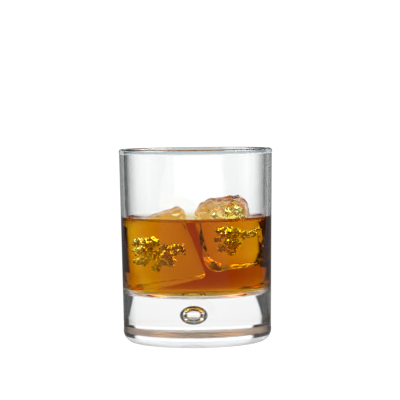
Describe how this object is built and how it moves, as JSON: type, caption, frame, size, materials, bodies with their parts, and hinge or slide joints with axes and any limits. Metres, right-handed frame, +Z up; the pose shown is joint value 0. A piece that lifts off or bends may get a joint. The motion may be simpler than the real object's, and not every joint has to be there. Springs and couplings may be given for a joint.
{
  "type": "whiskey tumbler",
  "caption": "Straight-sided clear glass tumbler with a thick bubble base, holding amber whiskey and two rounded blocks of clear ice.",
  "frame": {"origin": "on the tumbler's axis, in the plane that the foot stands on", "axes": "+Z up along the tumbler's axis, -Y to the front, +X to the right as seen from the front"},
  "size_m": [0.0834, 0.0834, 0.105],
  "materials": {
    "clear_glass": "polished",
    "amber_whiskey": "polished",
    "clear_ice": "polished"
  },
  "bodies": {
    "tumbler": {"tumbler_glass": "clear_glass", "whiskey": "amber_whiskey"},
    "left_ice": {"ice_cube_left": "clear_ice"},
    "right_ice": {"ice_cube_right": "clear_ice"}
  },
  "joints": [
    {"name": "lift_left_ice", "type": "slide", "parent": "tumbler", "child": "left_ice", "axis": [0, 0, 1], "range_m": [0, 0.08], "deforming": ["whiskey"]},
    {"name": "lift_right_ice", "type": "slide", "parent": "left_ice", "child": "right_ice", "axis": [0, 0, 1], "range_m": [0, 0.068], "deforming": ["whiskey"]}
  ]
}
